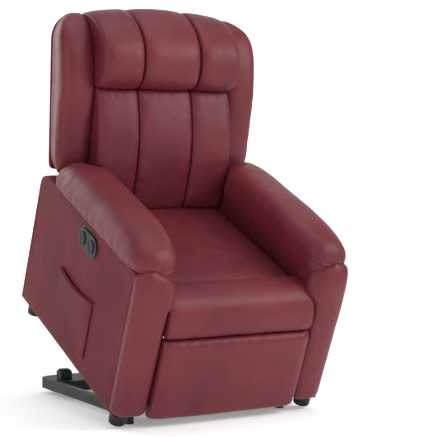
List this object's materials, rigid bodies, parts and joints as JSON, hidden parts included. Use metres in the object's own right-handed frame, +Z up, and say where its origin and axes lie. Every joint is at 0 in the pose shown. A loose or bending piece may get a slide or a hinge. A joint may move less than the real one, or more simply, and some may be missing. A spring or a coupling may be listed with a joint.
{
  "type": "electric lift recliner chair",
  "caption": "Wing-backed lift recliner armchair on a steel lift base: the chair rises and tips forward, the back reclines and the leg rest swings up.",
  "frame": {"origin": "on the floor, under the middle of the whole object in the raised position", "axes": "+Z up, -Y towards the front where the sitter's legs are, +X to the sitter's left hand seen from behind the chair (the right-hand side seen from the front)"},
  "size_m": [0.76, 0.9632, 1.3183],
  "materials": {
    "burgundy_leather": "semi-gloss grained upholstery leather",
    "black_steel": "black powder coat",
    "bright_steel": "zinc plated",
    "wood_board": "raw plywood",
    "black_rubber": "matt black rubber",
    "black_plastic": "fine textured black plastic",
    "gloss_black_plastic": "smooth black plastic",
    "webbing": "woven elastic webbing",
    "pocket_leather": "same leather as the side panel"
  },
  "bodies": {
    "base": {"base_rails": "black_steel", "base_rear_member": "black_steel", "base_feet": "black_plastic", "base_stop_blocks": "black_steel", "stop_buffers": "black_rubber", "base_pivots": "black_steel", "rail_end_plugs": "black_plastic", "actuator_rear_mount": "black_steel", "actuator_motor_unit": "black_plastic", "actuator_tube": "black_plastic"},
    "actuator_ram": {"actuator_rod": "bright_steel"},
    "lift_arm_frame": {"lift_arms": "black_steel", "lift_torsion_tube": "black_steel"},
    "front_link_l": {"front_link_left": "black_steel"},
    "front_link_r": {"front_link_right": "black_steel"},
    "chair": {"carriage_plates": "black_steel", "carriage_cross_tubes": "black_steel", "carriage_pins": "bright_steel", "seat_frame_rails": "wood_board", "seat_webbing": "webbing", "seat_cushion": "burgundy_leather", "seat_front_roll": "burgundy_leather", "arm_box_boards_left": "wood_board", "arm_box_boards_right": "wood_board", "rear_panels": "burgundy_leather", "side_panel_left": "burgundy_leather", "side_panel_right": "burgundy_leather", "arm_front_bolster_left": "burgundy_leather", "arm_front_bolster_right": "burgundy_leather", "arm_pad_left": "burgundy_leather", "arm_pad_right": "burgundy_leather", "arm_inner_panels": "burgundy_leather", "chair_feet": "black_plastic", "foot_mounts": "wood_board", "side_pocket": "pocket_leather", "switch_plate": "gloss_black_plastic", "power_inlet": "black_plastic", "legrest_brackets": "black_steel", "recline_rails": "bright_steel"},
    "back_carrier": {"recline_sliders": "bright_steel"},
    "backrest": {"back_frame": "black_steel", "back_webbing": "webbing", "back_rear_cover": "burgundy_leather", "back_wing_left": "burgundy_leather", "back_wing_right": "burgundy_leather", "headrest_left": "burgundy_leather", "headrest_centre": "burgundy_leather", "headrest_right": "burgundy_leather", "lumbar_channel_left": "burgundy_leather", "lumbar_channel_centre": "burgundy_leather", "lumbar_channel_right": "burgundy_leather"},
    "legrest": {"legrest_board": "wood_board", "legrest_pad": "burgundy_leather", "legrest_frame": "black_steel"},
    "button_front": {"switch_button_front": "gloss_black_plastic"},
    "button_rear": {"switch_button_rear": "gloss_black_plastic"}
  },
  "joints": [
    {"name": "lift", "type": "hinge", "parent": "base", "child": "lift_arm_frame", "pos_m": [0.003, -0.13948, 0.062], "axis": [1, 0, 0], "range_deg": [-45.17, 0]},
    {"name": "carriage_tilt", "type": "hinge", "parent": "lift_arm_frame", "child": "chair", "pos_m": [0.003, -0.11037, 0.28846], "axis": [1, 0, 0], "range_deg": [0, 21.68]},
    {"name": "front_link_left_swing", "type": "hinge", "parent": "base", "child": "front_link_l", "pos_m": [-0.239, -0.15745, 0.038], "axis": [1, 0, 0], "range_deg": [-52.99, 0]},
    {"name": "front_link_right_swing", "type": "hinge", "parent": "base", "child": "front_link_r", "pos_m": [0.245, -0.15745, 0.038], "axis": [1, 0, 0], "range_deg": [-52.99, 0]},
    {"name": "actuator_extend", "type": "slide", "parent": "base", "child": "actuator_ram", "axis": [0, -0.991, 0.1337], "range_m": [-0.08076, 0]},
    {"name": "recline", "type": "hinge", "parent": "back_carrier", "child": "backrest", "pos_m": [0.003, 0.16714, 0.70354], "axis": [1, 0, 0], "range_deg": [-40, 0]},
    {"name": "back_shift", "type": "slide", "parent": "chair", "child": "back_carrier", "axis": [0, 0.9171, 0.3987], "range_m": [0, 0.0602]},
    {"name": "legrest_swing", "type": "hinge", "parent": "chair", "child": "legrest", "pos_m": [0.003, -0.36674, 0.36999], "axis": [1, 0, 0], "range_deg": [-77.6, 0]},
    {"name": "switch_front_press", "type": "slide", "parent": "chair", "child": "button_front", "axis": [1, 0, 0], "range_m": [0, 0.002], "stiffness_N_per_m": 400, "springref_m": -0.0005},
    {"name": "switch_rear_press", "type": "slide", "parent": "chair", "child": "button_rear", "axis": [1, 0, 0], "range_m": [0, 0.002], "stiffness_N_per_m": 400, "springref_m": -0.0005}
  ],
  "couplings": [
    {"joint": "carriage_tilt", "follows": "lift", "ratio": -0.47979},
    {"joint": "front_link_left_swing", "follows": "lift", "ratio": 1.1727},
    {"joint": "front_link_right_swing", "follows": "lift", "ratio": 1.1727},
    {"joint": "actuator_extend", "follows": "lift", "m_per_rad": 0.1023},
    {"joint": "back_shift", "follows": "recline", "m_per_rad": -0.085944}
  ]
}
